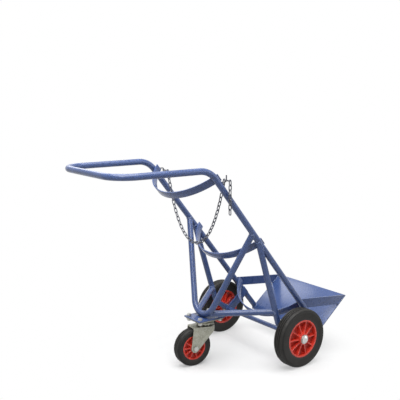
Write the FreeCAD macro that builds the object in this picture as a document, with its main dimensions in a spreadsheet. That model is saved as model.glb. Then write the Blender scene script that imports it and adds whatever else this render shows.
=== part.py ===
import FreeCAD
import Part
import Sketcher
import math
import os

from FreeCAD import Placement, Rotation, Vector

# Driving dimensions, in millimetres and degrees. "Along" is measured up a leaning side rail from
# the top of the toe plate, and "behind" square to the rails, towards the handle.
SIZES = {
    # Bent tube frame
    "tube_diameter": 25.4,
    "tube_wall": 2.0,
    "rail_spacing": 435.0,
    "rail_lean": 39.0,
    "rail_bend_radius": 95.0,
    "handle_height": 855.0,
    "handle_reach": 400.0,
    "handle_corner_radius": 90.0,
    "yoke_joint_along": 619.0,
    "yoke_bend_radius": 72.0,
    "yoke_setback": 14.0,
    "strut_joint_along": 573.0,
    "strut_knee_rise": 50.0,
    "strut_knee_setback": 71.0,
    "strut_bend_radius": 60.0,
    "stay_foot_offset": 30.0,
    "stay_joint_rise": 115.0,
    # Cradle bands of flat bar
    "band_height": 32.0,
    "band_thickness": 5.0,
    "band_depth": 112.0,
    "band_end_inset": 3.5,
    "lower_band_along": 172.0,
    "middle_band_along": 554.0,
    "upper_band_along": 908.0,
    # Toe plate and its guard bars
    "toe_reach": 207.0,
    "toe_heel": 20.0,
    "toe_thickness": 5.0,
    "guard_height": 40.0,
    "guard_thickness": 5.0,
    "guard_droop": 6.3,
    # Axle and the lugs that hold it
    "axle_diameter": 20.0,
    "axle_behind_rail": 121.5,
    "axle_chamfer": 1.5,
    "lug_thickness": 6.0,
    "lug_width": 40.0,
    "lug_lap": 8.0,
    # Main wheels
    "axle_spacer_length": 7.0,
    "wheel_diameter": 250.0,
    "tyre_width": 56.0,
    "tyre_shoulder_radius": 14.0,
    "tyre_bead_taper": 4.0,
    "tread_groove_width": 3.5,
    "tread_groove_depth": 3.0,
    "tread_groove_pitch": 10.0,
    "rim_diameter": 160.0,
    "rim_width": 48.0,
    "rim_wall": 7.0,
    "hub_length": 60.0,
    "hub_diameter": 48.0,
    "hub_web": 8.0,
    "hub_rib_count": 10,
    "hub_rib_thickness": 5.0,
    "hub_rib_inset": 6.0,
    "roller_diameter": 5.0,
    "roller_length": 48.0,
    "roller_count": 12,
    "cage_ring_thickness": 4.0,
    "running_clearance": 0.05,
    "side_clearance": 0.3,
    "washer_diameter": 38.0,
    "washer_thickness": 3.0,
    "cap_diameter": 32.0,
    "cap_height": 10.0,
    "cap_wall": 2.0,
    # Castor
    "castor_behind_axle": 297.0,
    "castor_yaw": 7.0,
    "castor_height": 200.0,
    "castor_trail": 60.0,
    "castor_wheel_diameter": 160.0,
    "castor_tyre_width": 44.0,
    "castor_shoulder_radius": 10.0,
    "castor_rim_diameter": 104.0,
    "castor_rim_width": 38.0,
    "castor_rim_wall": 5.0,
    "castor_hub_length": 50.0,
    "castor_hub_diameter": 36.0,
    "castor_hub_web": 6.0,
    "castor_bush_diameter": 22.0,
    "castor_sleeve_diameter": 16.0,
    "castor_plate_length": 125.0,
    "castor_plate_width": 100.0,
    "castor_plate_thickness": 6.0,
    "mount_plate_length": 135.0,
    "mount_plate_width": 110.0,
    "mount_plate_thickness": 6.0,
    "bolt_spacing_length": 105.0,
    "bolt_spacing_width": 80.0,
    "bolt_diameter": 10.0,
    "bolt_hole_clearance": 0.5,
    "bolt_head_across": 17.0,
    "bolt_head_height": 6.4,
    "bolt_washer_diameter": 20.0,
    "bolt_washer_thickness": 2.0,
    "nut_height": 8.0,
    "bolt_end_beyond_nut": 2.0,
    "race_diameter": 76.0,
    "race_thickness": 17.0,
    "race_flange_thickness": 6.0,
    "race_neck_diameter": 62.0,
    "ball_diameter": 7.6,
    "ball_circle_diameter": 54.0,
    "ball_count": 12,
    "ball_gap": 0.2,
    "king_pin_diameter": 12.0,
    "king_flange_diameter": 24.0,
    "king_flange_thickness": 5.0,
    "crown_diameter": 84.0,
    "crown_thickness": 5.0,
    "fork_leg_thickness": 4.0,
    "fork_leg_rear": 66.0,
    "fork_leg_shoulder": 25.0,
    "fork_boss_radius": 18.5,
    "fork_boss_angle": 45.0,
    "castor_bolt_diameter": 12.0,
    "castor_bolt_across": 19.0,
    "castor_bolt_head_height": 7.5,
    "castor_nut_height": 10.0,
    "castor_bolt_end": 3.0,
    # Load chain, its hook and its anchor staple
    "chain_wire": 4.0,
    "chain_pitch": 19.0,
    "chain_end_pitch": 32.0,
    "chain_inner_width": 7.0,
    "chain_clearance": 0.3,
    "chain_span_count": 39,
    "chain_tail_count": 7,
    "hook_along": 899.0,
    "hook_reach": 40.0,
    "hook_rod_diameter": 5.0,
    "hook_bend_radius": 8.0,
    "hook_tip": 26.0,
    "hook_seat_rise": 5.5,
    "hook_link_offset": 5.5,
    "staple_width": 18.0,
}


class Size:
    """A number kept together with the sheet expression that gives it."""

    def __init__(self, value, text):
        self.value = value
        self.text = text

    def __add__(self, other):
        other = as_size(other)
        return Size(self.value + other.value, f"({self.text} + {other.text})")

    def __sub__(self, other):
        other = as_size(other)
        return Size(self.value - other.value, f"({self.text} - {other.text})")

    def __mul__(self, other):
        other = as_size(other)
        return Size(self.value * other.value, f"({self.text} * {other.text})")

    def __truediv__(self, other):
        other = as_size(other)
        return Size(self.value / other.value, f"({self.text} / {other.text})")

    def __neg__(self):
        return Size(-self.value, f"(0 - {self.text})")


def as_size(item):
    """Any plain number becomes a size with itself as its expression."""
    if isinstance(item, Size):
        return item
    return Size(float(item), f"{float(item)}")


def sine(angle):
    return Size(math.sin(math.radians(angle.value)), f"sin({angle.text})")


def cosine(angle):
    return Size(math.cos(math.radians(angle.value)), f"cos({angle.text})")


def tangent(angle):
    return Size(math.tan(math.radians(angle.value)), f"tan({angle.text})")


def square_root(amount):
    return Size(math.sqrt(amount.value), f"sqrt({amount.text})")


def arc_tangent(ratio):
    return Size(math.degrees(math.atan(ratio.value)), f"(atan({ratio.text}) / 1 deg)")


doc = FreeCAD.newDocument("Trolley")
sheet = doc.addObject("Spreadsheet::Sheet", "Sheet")
for row, (alias, number) in enumerate(SIZES.items(), start=1):
    sheet.set(f"A{row}", alias)
    sheet.set(f"B{row}", str(number))
    sheet.setAlias(f"B{row}", alias)
doc.recompute()

nodes = []


def size(alias):
    """Look a driving dimension up in the sheet."""
    return Size(float(sheet.get(alias)), f"Sheet.{alias}")


def count_of(alias):
    return int(sheet.get(alias))


# Sizes and places that follow from the driving dimensions.
lean = size("rail_lean")
tube_radius = size("tube_diameter") / 2
half_spacing = size("rail_spacing") / 2
axle_radius = size("axle_diameter") / 2
axle_height = size("wheel_diameter") / 2
# Each hub turns against a spacer that stands on the outer side of its rail.
spacer_start = half_spacing + tube_radius
hub_inner_face = spacer_start + size("axle_spacer_length") + size("side_clearance")
half_track = hub_inner_face + size("hub_length") / 2
# Stood upright, the trolley rests on the toe plate with both main wheels just touching the floor.
axle_above_toe = axle_height - size("toe_thickness")
clearance = size("running_clearance")
foot_height = axle_height - axle_above_toe * cosine(lean) + size("axle_behind_rail") * sine(lean)
corner_along = (size("handle_height") - foot_height) / cosine(lean)
handle_run = corner_along * sine(lean) + size("handle_reach") + tube_radius
toe_run = size("toe_reach") * cosine(lean) + size("toe_thickness") * sine(lean)
# The frame stands with its length centred on the origin.
foot_x = (handle_run - toe_run) / 2
axle_x = foot_x - axle_above_toe * sine(lean) - size("axle_behind_rail") * cosine(lean)
castor_x = axle_x - size("castor_behind_axle")
mount_top = size("castor_height") + size("mount_plate_thickness")

LEANING = Rotation(Vector(0, 1, 0), -lean.value)
YAWED = Rotation(Vector(0, 0, 1), -size("castor_yaw").value)
TO_LEFT = Rotation(Vector(1, 0, 0), -90)
TO_RIGHT = Rotation(Vector(1, 0, 0), 90)
UPRIGHT = Rotation()
SIDES = (("left", 1, TO_LEFT), ("right", -1, TO_RIGHT))


def rail_point(along, ahead, side):
    """A point given up a rail, ahead of the plane of the rails and across the trolley."""
    swing = math.radians(lean.value)
    x = foot_x.value + ahead * math.cos(swing) - along * math.sin(swing)
    z = foot_height.value + ahead * math.sin(swing) + along * math.cos(swing)
    return Vector(x, side, z)


def bind(item, name, amount):
    item.setExpression(name, as_size(amount).text)


def place(item, x, y, z, rotation=UPRIGHT):
    """Put a piece at a spot tied to the sheet."""
    spot = [as_size(x), as_size(y), as_size(z)]
    item.Placement = Placement(Vector(*[amount.value for amount in spot]), rotation)
    for letter, amount in zip("xyz", spot):
        item.setExpression(f"Placement.Base.{letter}", amount.text)


def keep(item, label):
    """Name a finished piece, which is then written to its own file."""
    item.Label = label
    nodes.append(item)
    return item


def new_body(label):
    return keep(doc.addObject("PartDesign::Body", label), label)


def origin_plane(body, role):
    return next(item for item in body.Origin.OriginFeatures if item.Role == role)


def tie(sketch, kind, items, amount):
    """Add a dimension that the sheet drives."""
    amount = as_size(amount)
    number = sketch.addConstraint(Sketcher.Constraint(kind, *items, amount.value))
    sketch.setExpression(f"Constraints[{number}]", amount.text)


def arc_between(begin, finish, radius):
    """The shorter arc between two points, turning left for a plus radius and right for a minus one."""
    chord = finish - begin
    height = math.sqrt(radius ** 2 - (chord.Length / 2) ** 2)
    normal = Vector(-chord.y, chord.x, 0).normalize()
    centre = (begin + finish) / 2 + normal * math.copysign(height, radius)
    first, last = (begin, finish) if radius > 0 else (finish, begin)
    angles = [math.atan2(point.y - centre.y, point.x - centre.x) for point in (first, last)]
    return Part.ArcOfCircle(Part.Circle(centre, Vector(0, 0, 1), abs(radius)), *angles)


def outline(body, name, role, corners, circles=()):
    """Draw a closed outline whose corners are tied to the sheet.

    A corner is x and y, and the radius of the arc that leaves it if that side is round.
    """
    sketch = body.newObject("Sketcher::SketchObject", name)
    sketch.AttachmentSupport = (origin_plane(body, role), [""])
    sketch.MapMode = "FlatFace"
    corners = [[as_size(amount) for amount in corner] for corner in corners]
    points = [Vector(corner[0].value, corner[1].value, 0) for corner in corners]
    count = len(corners)
    starts = []
    for index, corner in enumerate(corners):
        begin = points[index]
        finish = points[(index + 1) % count]
        if len(corner) == 2:
            sketch.addGeometry(Part.LineSegment(begin, finish), False)
            starts.append(1)
        else:
            sketch.addGeometry(arc_between(begin, finish, corner[2].value), False)
            starts.append(1 if corner[2].value > 0 else 2)
    for index, corner in enumerate(corners):
        following = (index + 1) % count
        sketch.addConstraint(
            Sketcher.Constraint("Coincident", index, 3 - starts[index], following, starts[following])
        )
        tie(sketch, "DistanceX", (-1, 1, index, starts[index]), corner[0])
        tie(sketch, "DistanceY", (-1, 1, index, starts[index]), corner[1])
        if len(corner) == 3:
            tie(sketch, "Radius", (index,), corner[2] if corner[2].value > 0 else -corner[2])
    for x, y, radius in circles:
        x, y, radius = as_size(x), as_size(y), as_size(radius)
        hole = Part.Circle(Vector(x.value, y.value, 0), Vector(0, 0, 1), radius.value)
        number = sketch.addGeometry(hole, False)
        tie(sketch, "DistanceX", (-1, 1, number, 3), x)
        tie(sketch, "DistanceY", (-1, 1, number, 3), y)
        tie(sketch, "Radius", (number,), radius)
    return sketch


def pad(body, sketch, length, both_ways=False):
    feature = body.newObject("PartDesign::Pad", f"{sketch.Name}_pad")
    feature.Profile = sketch
    feature.Midplane = both_ways
    bind(feature, "Length", length)
    return feature


def turned(label, corners):
    """A piece of revolution about its own Z axis."""
    body = new_body(label)
    sketch = outline(body, f"{label}_profile", "XZ_Plane", corners)
    feature = body.newObject("PartDesign::Revolution", f"{label}_turning")
    feature.Profile = sketch
    feature.ReferenceAxis = (sketch, ["V_Axis"])
    feature.Angle = 360
    return body


def ring(label, bore_radius, outer_radius, length):
    corners = [(bore_radius, 0), (outer_radius, 0), (outer_radius, length), (bore_radius, length)]
    return turned(label, corners)


def rectangle(half_length, half_width):
    return [
        (-half_length, -half_width),
        (half_length, -half_width),
        (half_length, half_width),
        (-half_length, half_width),
    ]


def cut(name, base, tool):
    piece = doc.addObject("Part::Cut", name)
    piece.Base = base
    piece.Tool = tool
    return piece


def joined(name, pieces):
    piece = doc.addObject("Part::MultiFuse", name)
    piece.Shapes = pieces
    return piece


def group(label, pieces):
    """Like pieces, kept as separate solids in one node."""
    compound = doc.addObject("Part::Compound", label)
    compound.Links = pieces
    return keep(compound, label)


def bent_path(points, bend_radius):
    """Straight runs joined by tangent arcs of one radius."""
    edges = []
    start = points[0]
    for before, corner, after in zip(points, points[1:], points[2:]):
        back = (before - corner).normalize()
        onward = (after - corner).normalize()
        half_angle = back.getAngle(onward) / 2
        reach = bend_radius / math.tan(half_angle)
        arc_start = corner + back * reach
        arc_end = corner + onward * reach
        inward = (back + onward).normalize()
        arc_middle = corner + inward * (bend_radius / math.sin(half_angle) - bend_radius)
        edges.append(Part.LineSegment(start, arc_start).toShape())
        edges.append(Part.Arc(arc_start, arc_middle, arc_end).toShape())
        start = arc_end
    edges.append(Part.LineSegment(start, points[-1]).toShape())
    return edges


def swept(name, edges, radius):
    """A round bar along a path that starts with a straight run."""
    path = doc.addObject("Part::Feature", f"{name}_path")
    path.Shape = Part.Wire(edges)
    section = doc.addObject("Part::Circle", f"{name}_section")
    bind(section, "Radius", radius)
    first, second = edges[0].Vertexes
    heading = second.Point - first.Point
    section.Placement = Placement(first.Point, Rotation(Vector(0, 0, 1), heading))
    bar = doc.addObject("Part::Sweep", name)
    bar.Sections = [section]
    bar.Spine = (path, [f"Edge{index + 1}" for index in range(len(edges))])
    bar.Solid = True
    return bar


def tube(label, edges, coped_to=()):
    """A hollow tube along a path, with its ends coped to the pieces that it is welded to."""
    outside = swept(f"{label}_outside", edges, tube_radius)
    bore = swept(f"{label}_bore", edges, tube_radius - size("tube_wall"))
    piece = cut(f"{label}_wall", outside, bore)
    for index, other in enumerate(coped_to):
        piece = cut(f"{label}_cope_{index}", piece, other)
    keep(piece, label)
    return outside


def main_frame_tube():
    """Both side rails and the handle loop, bent from one tube."""
    side = half_spacing.value
    corner = corner_along.value
    handle_end = rail_point(corner, 0, 0).x - size("handle_reach").value
    height = size("handle_height").value
    right_half = [
        rail_point(0, 0, -side),
        rail_point(corner, 0, -side),
        Vector(handle_end, -side, height),
    ]
    left_half = [Vector(point.x, -point.y, point.z) for point in reversed(right_half)]
    rail_bend = size("rail_bend_radius").value
    right_middle = (right_half[1] + right_half[2]) / 2
    left_middle = (left_half[0] + left_half[1]) / 2
    right_rail = bent_path([*right_half[:2], right_middle], rail_bend)
    left_rail = bent_path([left_middle, *left_half[1:]], rail_bend)
    loop_points = [right_middle, right_half[2], left_half[0], left_middle]
    loop = bent_path(loop_points, size("handle_corner_radius").value)
    return tube("main_frame_tube", right_rail + loop + left_rail)


def yoke_points():
    """The ends of the castor yoke, the crossing of its legs and the middle of its round foot."""
    side = half_spacing.value
    radius = size("yoke_bend_radius").value
    top = rail_point(size("yoke_joint_along").value, 0, 0)
    foot = Vector(castor_x.value - size("yoke_setback").value, 0, (mount_top + tube_radius).value)
    rise = (top - foot).Length
    slack = radius - rise
    # The legs are tangents to the round foot, so they cross at a known depth below the top.
    square = radius ** 2 - side ** 2
    root = math.sqrt(side ** 2 * slack ** 2 + square * (slack ** 2 - radius ** 2))
    depth = side * (side * slack - root) / square
    crossing = top + (foot - top).normalize() * depth
    return top + Vector(0, -side, 0), top + Vector(0, side, 0), crossing, foot


def castor_yoke_tube(frame_outside):
    right_top, left_top, crossing, foot = yoke_points()
    edges = bent_path([right_top, crossing, left_top], size("yoke_bend_radius").value)
    return tube("castor_yoke_tube", edges, [frame_outside])


def strut_points(side):
    """A strut's joint on its rail, its knee and its foot on the axle."""
    top = rail_point(size("strut_joint_along").value, 0, side)
    foot = Vector(axle_x.value, side, axle_height.value)
    knee = foot + Vector(-size("strut_knee_setback").value, 0, size("strut_knee_rise").value)
    return top, knee, foot


def strut(side_name, sign, frame_outside, axle):
    edges = bent_path(strut_points(sign * half_spacing.value), size("strut_bend_radius").value)
    return tube(f"{side_name}_strut", edges, [frame_outside, axle])


def base_stay(side_name, sign, yoke_outside, strut_outside):
    """A tube from the round foot of the castor yoke to the strut above the axle."""
    top, knee, foot = strut_points(sign * half_spacing.value)
    share = (top.z - foot.z - size("stay_joint_rise").value) / (top.z - knee.z)
    joint = top + (knee - top) * share
    right_top, left_top, crossing, yoke_foot = yoke_points()
    radius = size("yoke_bend_radius").value
    offset = size("stay_foot_offset").value
    climb = ((right_top + left_top) / 2 - yoke_foot).normalize()
    start = yoke_foot + climb * (radius - math.sqrt(radius ** 2 - offset ** 2)) + Vector(0, sign * offset, 0)
    edges = [Part.LineSegment(start, joint).toShape()]
    tube(f"{side_name}_base_stay", edges, [yoke_outside, strut_outside])


def cradle_band(label, along):
    """A flat bar rolled to an arc, its ends lapped on the rails and stopped short of their middles."""
    depth = size("band_depth")
    half_thickness = size("band_thickness") / 2
    reach = half_thickness + tube_radius
    spread = half_spacing * half_spacing + depth * depth - reach * reach
    radius = spread / ((depth + reach) * 2)
    centre = radius - depth
    inner = radius - half_thickness
    outer = radius + half_thickness
    end_side = half_spacing - size("band_end_inset")
    half_angle = arc_tangent(end_side / square_root(outer * outer - end_side * end_side))

    def end(arm, sign):
        return [centre - arm * cosine(half_angle), arm * sine(half_angle) * sign]

    body = new_body(label)
    corners = [
        end(outer, 1) + [outer],
        (centre - outer, 0, outer),
        end(outer, -1),
        end(inner, -1) + [-inner],
        (centre - inner, 0, -inner),
        end(inner, 1),
    ]
    sketch = outline(body, f"{label}_outline", "XY_Plane", corners)
    pad(body, sketch, size("band_height"), both_ways=True)
    place(body, foot_x - along * sine(lean), 0, foot_height + along * cosine(lean), LEANING)


def toe_plate():
    """A flat plate under both rails, flush with the outer faces of the guard bars."""
    half_width = half_spacing + size("guard_thickness") / 2
    corners = [
        (-size("toe_heel"), -half_width),
        (size("toe_reach"), -half_width),
        (size("toe_reach"), half_width),
        (-size("toe_heel"), half_width),
    ]
    body = new_body("toe_plate")
    sketch = outline(body, "toe_outline", "XY_Plane", corners)
    pad(body, sketch, size("toe_thickness"))
    thickness = size("toe_thickness")
    place(body, foot_x + thickness * sine(lean), 0, foot_height - thickness * cosine(lean), LEANING)


def toe_guard(side_name, sign):
    """A flat bar on edge from the front of a rail to the tip of the toe plate."""
    slope = lean + size("guard_droop")
    tip = size("toe_reach")
    lower_end = tip - size("guard_height") / sine(slope)
    corners = [
        (tip, 0),
        (tube_radius, (tip - tube_radius) * tangent(slope)),
        (tube_radius, (lower_end - tube_radius) * tangent(slope)),
        (lower_end, 0),
    ]
    body = new_body(f"{side_name}_toe_guard")
    sketch = outline(body, f"{side_name}_guard_outline", "XZ_Plane", corners)
    pad(body, sketch, size("guard_thickness"), both_ways=True)
    place(body, foot_x, half_spacing * sign, foot_height, LEANING)


def axle_lug(side_name, sign):
    """A flat bar on the inner side of a rail, with a round end that holds the axle."""
    half_width = size("lug_width") / 2
    behind = -size("axle_behind_rail")
    along = axle_above_toe
    corners = [
        (size("lug_lap"), along - half_width),
        (size("lug_lap"), along + half_width),
        (behind, along + half_width, half_width),
        (behind - half_width, along, half_width),
        (behind, along - half_width),
    ]
    body = new_body(f"{side_name}_axle_lug")
    sketch = outline(body, f"{side_name}_lug_outline", "XZ_Plane", corners, [(behind, along, axle_radius)])
    pad(body, sketch, size("lug_thickness"), both_ways=True)
    inset = half_spacing - tube_radius - size("lug_thickness") / 2
    place(body, foot_x, inset * sign, foot_height, LEANING)


def axle():
    half_length = half_track + size("hub_length") / 2 + size("side_clearance")
    half_length = half_length + size("washer_thickness") + size("cap_height") - size("cap_wall") * 2
    chamfer = size("axle_chamfer")
    corners = [
        (0, 0),
        (axle_radius - chamfer, 0),
        (axle_radius, chamfer),
        (axle_radius, half_length * 2 - chamfer),
        (axle_radius - chamfer, half_length * 2),
        (0, half_length * 2),
    ]
    body = turned("axle", corners)
    place(body, axle_x, -half_length, axle_height, TO_LEFT)
    return body


def tyre_corners(diameter, width, shoulder, rim_radius, groove_count):
    """A solid rubber tyre: a grooved tread, round shoulders and side walls that taper to the rim."""
    radius = diameter / 2
    taper = size("tyre_bead_taper")
    groove = size("tread_groove_width") / 2
    floor = radius - size("tread_groove_depth")
    corners = [
        (rim_radius, taper),
        (radius - shoulder, 0, shoulder),
        (radius, shoulder),
    ]
    for index in range(groove_count):
        middle = width / 2 + size("tread_groove_pitch") * (index - (groove_count - 1) / 2)
        corners += [(radius, middle - groove), (floor, middle - groove)]
        corners += [(floor, middle + groove), (radius, middle + groove)]
    corners += [
        (radius, width - shoulder, shoulder),
        (radius - shoulder, width),
        (rim_radius, width - taper),
    ]
    return corners


def ribbed_hub(label, length, bore, barrel, web, rim_radius, rim_width, rim_wall, rib_count):
    """A moulded wheel centre: barrel, web and rim, with ribs standing on both sides of the web."""
    inner = rim_radius - rim_wall
    rim_low = (length - rim_width) / 2
    rim_high = (length + rim_width) / 2
    web_low = (length - web) / 2
    web_high = (length + web) / 2
    body = turned(label, [
        (bore, 0),
        (barrel, 0),
        (barrel, web_low),
        (inner, web_low),
        (inner, rim_low),
        (rim_radius, rim_low),
        (rim_radius, rim_high),
        (inner, rim_high),
        (inner, web_high),
        (barrel, web_high),
        (barrel, length),
        (bore, length),
    ])
    inset = size("hub_rib_inset")
    sunk = rim_wall / 2
    ribs = outline(body, f"{label}_rib_outline", "XZ_Plane", [
        (barrel - sunk, inset),
        (inner + sunk, rim_low + inset),
        (inner + sunk, rim_high - inset),
        (barrel - sunk, length - inset),
    ])
    rib = pad(body, ribs, size("hub_rib_thickness"), both_ways=True)
    pattern = body.newObject("PartDesign::PolarPattern", f"{label}_ribs")
    pattern.Originals = [rib]
    pattern.Axis = (ribs, ["V_Axis"])
    pattern.Angle = 360
    pattern.Occurrences = rib_count
    body.Tip = pattern
    return body


def cap_corners():
    """A domed push-on cap with a blind socket for the axle end."""
    radius = size("cap_diameter") / 2
    height = size("cap_height")
    skirt = size("cap_wall") * 2
    dome_rise = height - skirt
    dome_radius = (radius * radius + dome_rise * dome_rise) / (dome_rise * 2)
    socket = height - size("cap_wall") * 2
    return [
        (axle_radius, 0),
        (radius, 0),
        (radius, skirt, dome_radius),
        (0, height),
        (0, socket),
        (axle_radius, socket),
    ]


def main_wheel(side_name, sign, outward):
    """One rubber-tyred wheel with its roller bearing, spacer, washer and cap."""
    hub_length = size("hub_length")
    roller_radius = size("roller_diameter") / 2
    roller_circle = axle_radius + clearance + roller_radius
    bore = roller_circle + roller_radius + clearance
    outer_face = half_track + hub_length / 2

    def seat(body, distance):
        place(body, axle_x, distance * sign, axle_height, outward)

    rim_radius = size("rim_diameter") / 2
    width = size("tyre_width")
    corners = tyre_corners(size("wheel_diameter"), width, size("tyre_shoulder_radius"), rim_radius, 3)
    seat(turned(f"{side_name}_tyre", corners), half_track - width / 2)
    hub = ribbed_hub(
        f"{side_name}_wheel_centre", hub_length, bore, size("hub_diameter") / 2, size("hub_web"),
        rim_radius, size("rim_width"), size("rim_wall"), count_of("hub_rib_count"),
    )
    seat(hub, hub_inner_face)

    rollers = []
    count = count_of("roller_count")
    for index in range(count):
        angle = math.radians(360 * index / count)
        roller = doc.addObject("Part::Cylinder", f"{side_name}_roller")
        bind(roller, "Radius", roller_radius)
        bind(roller, "Height", size("roller_length"))
        place(
            roller,
            axle_x + roller_circle * math.cos(angle),
            (half_track - size("roller_length") / 2) * sign,
            axle_height + roller_circle * math.sin(angle),
            outward,
        )
        rollers.append(roller)
    group(f"{side_name}_bearing_rollers", rollers)

    cage_seats = (
        ("inner", half_track - size("roller_length") / 2 - size("cage_ring_thickness")),
        ("outer", half_track + size("roller_length") / 2),
    )
    for end_name, distance in cage_seats:
        label = f"{side_name}_{end_name}_bearing_ring"
        seat(ring(label, axle_radius + clearance, bore, size("cage_ring_thickness")), distance)

    gap = size("side_clearance")
    washer_radius = size("washer_diameter") / 2
    spacer = ring(f"{side_name}_axle_spacer", axle_radius, washer_radius, size("axle_spacer_length"))
    seat(spacer, spacer_start)
    thickness = size("washer_thickness")
    seat(ring(f"{side_name}_axle_washer", axle_radius, washer_radius, thickness), outer_face + gap)
    cap = turned(f"{side_name}_wheel_cap", cap_corners())
    seat(cap, outer_face + gap + thickness)


def bolt_spots():
    """The four fixing holes of the castor plate, from its centre."""
    half_length = size("bolt_spacing_length") / 2
    half_width = size("bolt_spacing_width") / 2
    return [(half_length * along, half_width * across) for along in (-1, 1) for across in (-1, 1)]


def castor_plates():
    """The welded mounting plate and, under it, the top plate of the castor."""
    hole = (size("bolt_diameter") + size("bolt_hole_clearance")) / 2
    holes = [(x, y, hole) for x, y in bolt_spots()]
    mount = new_body("castor_mount_plate")
    edges = rectangle(size("mount_plate_length") / 2, size("mount_plate_width") / 2)
    pad(mount, outline(mount, "mount_outline", "XY_Plane", edges, holes), size("mount_plate_thickness"))
    place(mount, castor_x, 0, size("castor_height"))
    top = new_body("castor_top_plate")
    holes.append((0, 0, size("king_pin_diameter") / 2))
    edges = rectangle(size("castor_plate_length") / 2, size("castor_plate_width") / 2)
    pad(top, outline(top, "top_outline", "XY_Plane", edges, holes), size("castor_plate_thickness"))
    place(top, castor_x, 0, size("castor_height") - size("castor_plate_thickness"))


def hex_prism(name, across, height):
    prism = doc.addObject("Part::Prism", name)
    prism.Polygon = 6
    bind(prism, "Circumradius", across / 2 / cosine(as_size(30)))
    bind(prism, "Height", height)
    return prism


def castor_fasteners():
    """Four bolts with washers under their heads, and nuts under the castor plate."""
    radius = size("bolt_diameter") / 2
    plate_bottom = size("castor_height") - size("castor_plate_thickness")
    washer_top = mount_top + size("bolt_washer_thickness")
    bolt_end = plate_bottom - size("nut_height") - size("bolt_end_beyond_nut")
    bolts = []
    nuts = []
    washers = []
    for x, y in bolt_spots():
        spot = (castor_x + x, y)
        head = hex_prism("bolt_head", size("bolt_head_across"), size("bolt_head_height"))
        place(head, *spot, washer_top)
        shank = doc.addObject("Part::Cylinder", "bolt_shank")
        bind(shank, "Radius", radius)
        bind(shank, "Height", washer_top - bolt_end)
        place(shank, *spot, bolt_end)
        bolts.append(joined("bolt", [head, shank]))
        nut = hex_prism("nut_block", size("bolt_head_across"), size("nut_height"))
        place(nut, *spot, plate_bottom - size("nut_height"))
        nuts.append(cut("nut", nut, shank))
        washer = doc.addObject("Part::Cylinder", "washer_disc")
        bind(washer, "Radius", size("bolt_washer_diameter") / 2)
        bind(washer, "Height", size("bolt_washer_thickness"))
        place(washer, *spot, mount_top)
        washers.append(cut("washer", washer, shank))
    group("castor_plate_bolts", bolts)
    group("castor_plate_nuts", nuts)
    group("castor_plate_washers", washers)


def castor_swivel():
    """The race under the castor plate, its balls and the flanged king pin that carries the fork."""
    plate_bottom = size("castor_height") - size("castor_plate_thickness")
    race_bottom = plate_bottom - size("race_thickness")
    ball_radius = size("ball_diameter") / 2
    crown_top = race_bottom - size("ball_diameter") - size("ball_gap") * 2
    pin_radius = size("king_pin_diameter") / 2
    race_radius = size("race_diameter") / 2
    neck_radius = size("race_neck_diameter") / 2
    flange = size("race_flange_thickness")
    race = turned("castor_race", [
        (pin_radius, 0),
        (race_radius, 0),
        (race_radius, flange),
        (neck_radius, flange + (race_radius - neck_radius) / 2),
        (neck_radius, size("race_thickness")),
        (pin_radius, size("race_thickness")),
    ])
    place(race, castor_x, 0, race_bottom)
    balls = []
    count = count_of("ball_count")
    circle = size("ball_circle_diameter") / 2
    for index in range(count):
        angle = math.radians(360 * index / count)
        ball = doc.addObject("Part::Sphere", "ball")
        bind(ball, "Radius", ball_radius)
        x = castor_x + circle * math.cos(angle)
        place(ball, x, circle * math.sin(angle), crown_top + size("ball_gap") + ball_radius)
        balls.append(ball)
    group("castor_balls", balls)
    flange_radius = size("king_flange_diameter") / 2
    flange_top = size("king_flange_thickness")
    crown_bottom = crown_top - size("crown_thickness")
    pin_bottom = crown_bottom - size("side_clearance") - flange_top
    pin_length = size("castor_height") - pin_bottom
    pin = turned("castor_king_pin", [
        (0, 0),
        (flange_radius, 0),
        (flange_radius, flange_top),
        (pin_radius, flange_top),
        (pin_radius, pin_length),
        (0, pin_length),
    ])
    place(pin, castor_x, 0, pin_bottom)
    return crown_top


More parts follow.
